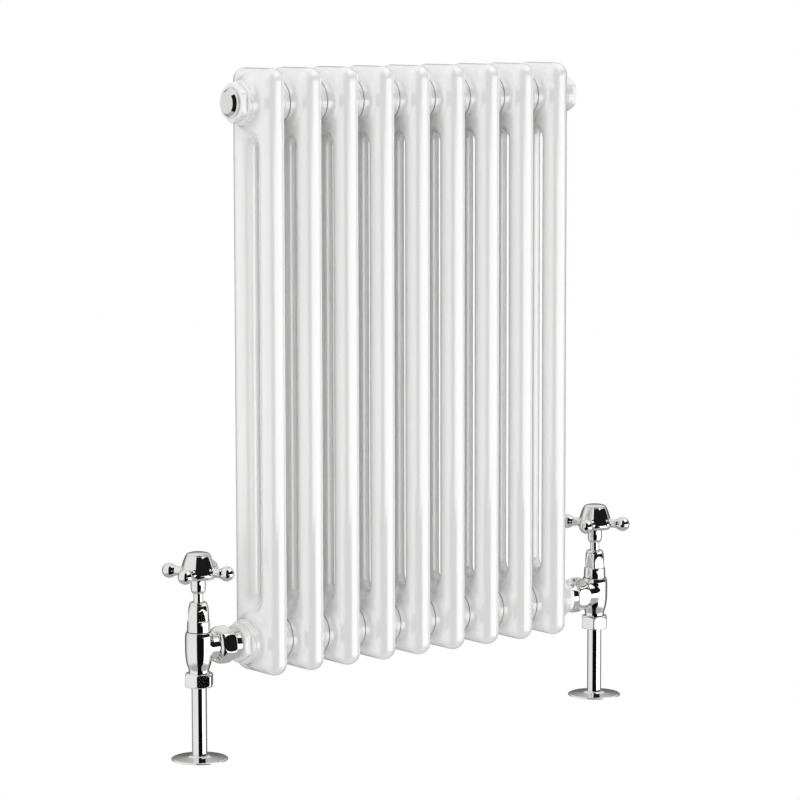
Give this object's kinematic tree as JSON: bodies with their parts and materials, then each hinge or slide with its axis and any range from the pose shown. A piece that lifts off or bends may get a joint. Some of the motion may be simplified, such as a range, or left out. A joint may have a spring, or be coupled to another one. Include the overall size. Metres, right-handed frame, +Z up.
{
  "type": "column radiator with valves",
  "caption": "Vertical two-column white radiator with chrome cross-head angle valves, pipe tails and round floor plates at both ends.",
  "frame": {"origin": "middle of the radiator's width and depth, at floor level", "axes": "+Z up, +X to the right seen from the front, front faces -Y and the wall is at +Y"},
  "size_m": [0.579, 0.068, 0.678],
  "materials": {
    "white_enamel": "gloss white enamel",
    "chrome": "polished chrome plate",
    "brass": "machined brass",
    "steel": "plain turned steel",
    "rubber": "black seal rubber",
    "ptfe": "white packing"
  },
  "bodies": {
    "radiator": {"section_1": "white_enamel", "section_2": "white_enamel", "section_3": "white_enamel", "section_4": "white_enamel", "section_5": "white_enamel", "section_6": "white_enamel", "section_7": "white_enamel", "section_8": "white_enamel", "section_9": "white_enamel", "top_nipples": "steel", "bottom_nipples": "steel", "joint_gaskets": "rubber", "bush_top_left": "white_enamel", "bush_top_right": "white_enamel", "bush_bottom_left": "white_enamel", "bush_bottom_right": "white_enamel", "bush_gaskets": "rubber", "blanking_plug": "chrome", "vent_plug": "chrome", "plug_seals": "rubber", "left_valve_body": "chrome", "left_tail_piece": "chrome", "left_union_seal": "rubber", "left_union_nut": "chrome", "left_pipe_tail": "chrome", "left_olive": "brass", "left_compression_nut": "chrome", "left_bonnet": "chrome", "left_bonnet_washer": "rubber", "left_gland_packing": "ptfe", "left_gland_nut": "chrome", "right_valve_body": "chrome", "right_tail_piece": "chrome", "right_union_seal": "rubber", "right_union_nut": "chrome", "right_pipe_tail": "chrome", "right_olive": "brass", "right_compression_nut": "chrome", "right_bonnet": "chrome", "right_bonnet_washer": "rubber", "right_gland_packing": "ptfe", "right_gland_nut": "chrome"},
    "left_handle": {"left_spindle": "chrome", "left_cross_handle": "chrome", "left_handle_cap": "chrome", "left_handle_screw": "brass"},
    "left_lift": {"left_jumper": "brass", "left_seat_washer": "rubber"},
    "left_plate": {"left_floor_plate": "chrome"},
    "right_handle": {"right_spindle": "chrome", "right_cross_handle": "chrome", "right_handle_cap": "chrome", "right_handle_screw": "brass"},
    "right_lift": {"right_jumper": "brass", "right_seat_washer": "rubber"},
    "right_plate": {"right_floor_plate": "chrome"},
    "bleed_screw": {"vent_screw": "brass"}
  },
  "joints": [
    {"name": "left_handle_turn", "type": "hinge", "parent": "radiator", "child": "left_handle", "pos_m": [-0.256, 0, 0.1115], "axis": [0, 0, 1], "range_deg": [0, 900]},
    {"name": "left_jumper_lift", "type": "slide", "parent": "radiator", "child": "left_lift", "axis": [0, 0, 1], "range_m": [0, 0.0052]},
    {"name": "left_plate_slide", "type": "slide", "parent": "radiator", "child": "left_plate", "axis": [0, 0, 1], "range_m": [0, 0.06]},
    {"name": "right_handle_turn", "type": "hinge", "parent": "radiator", "child": "right_handle", "pos_m": [0.256, 0, 0.1115], "axis": [0, 0, 1], "range_deg": [0, 900]},
    {"name": "right_jumper_lift", "type": "slide", "parent": "radiator", "child": "right_lift", "axis": [0, 0, 1], "range_m": [0, 0.0052]},
    {"name": "right_plate_slide", "type": "slide", "parent": "radiator", "child": "right_plate", "axis": [0, 0, 1], "range_m": [0, 0.06]},
    {"name": "bleed_screw_turn", "type": "hinge", "parent": "radiator", "child": "bleed_screw", "pos_m": [0.21, 0, 0.6445], "axis": [1, 0, 0], "range_deg": [0, 540]}
  ],
  "couplings": [
    {"joint": "left_jumper_lift", "follows": "left_handle_turn", "m_per_rad": 0.00031831},
    {"joint": "right_jumper_lift", "follows": "right_handle_turn", "m_per_rad": 0.00031831}
  ]
}
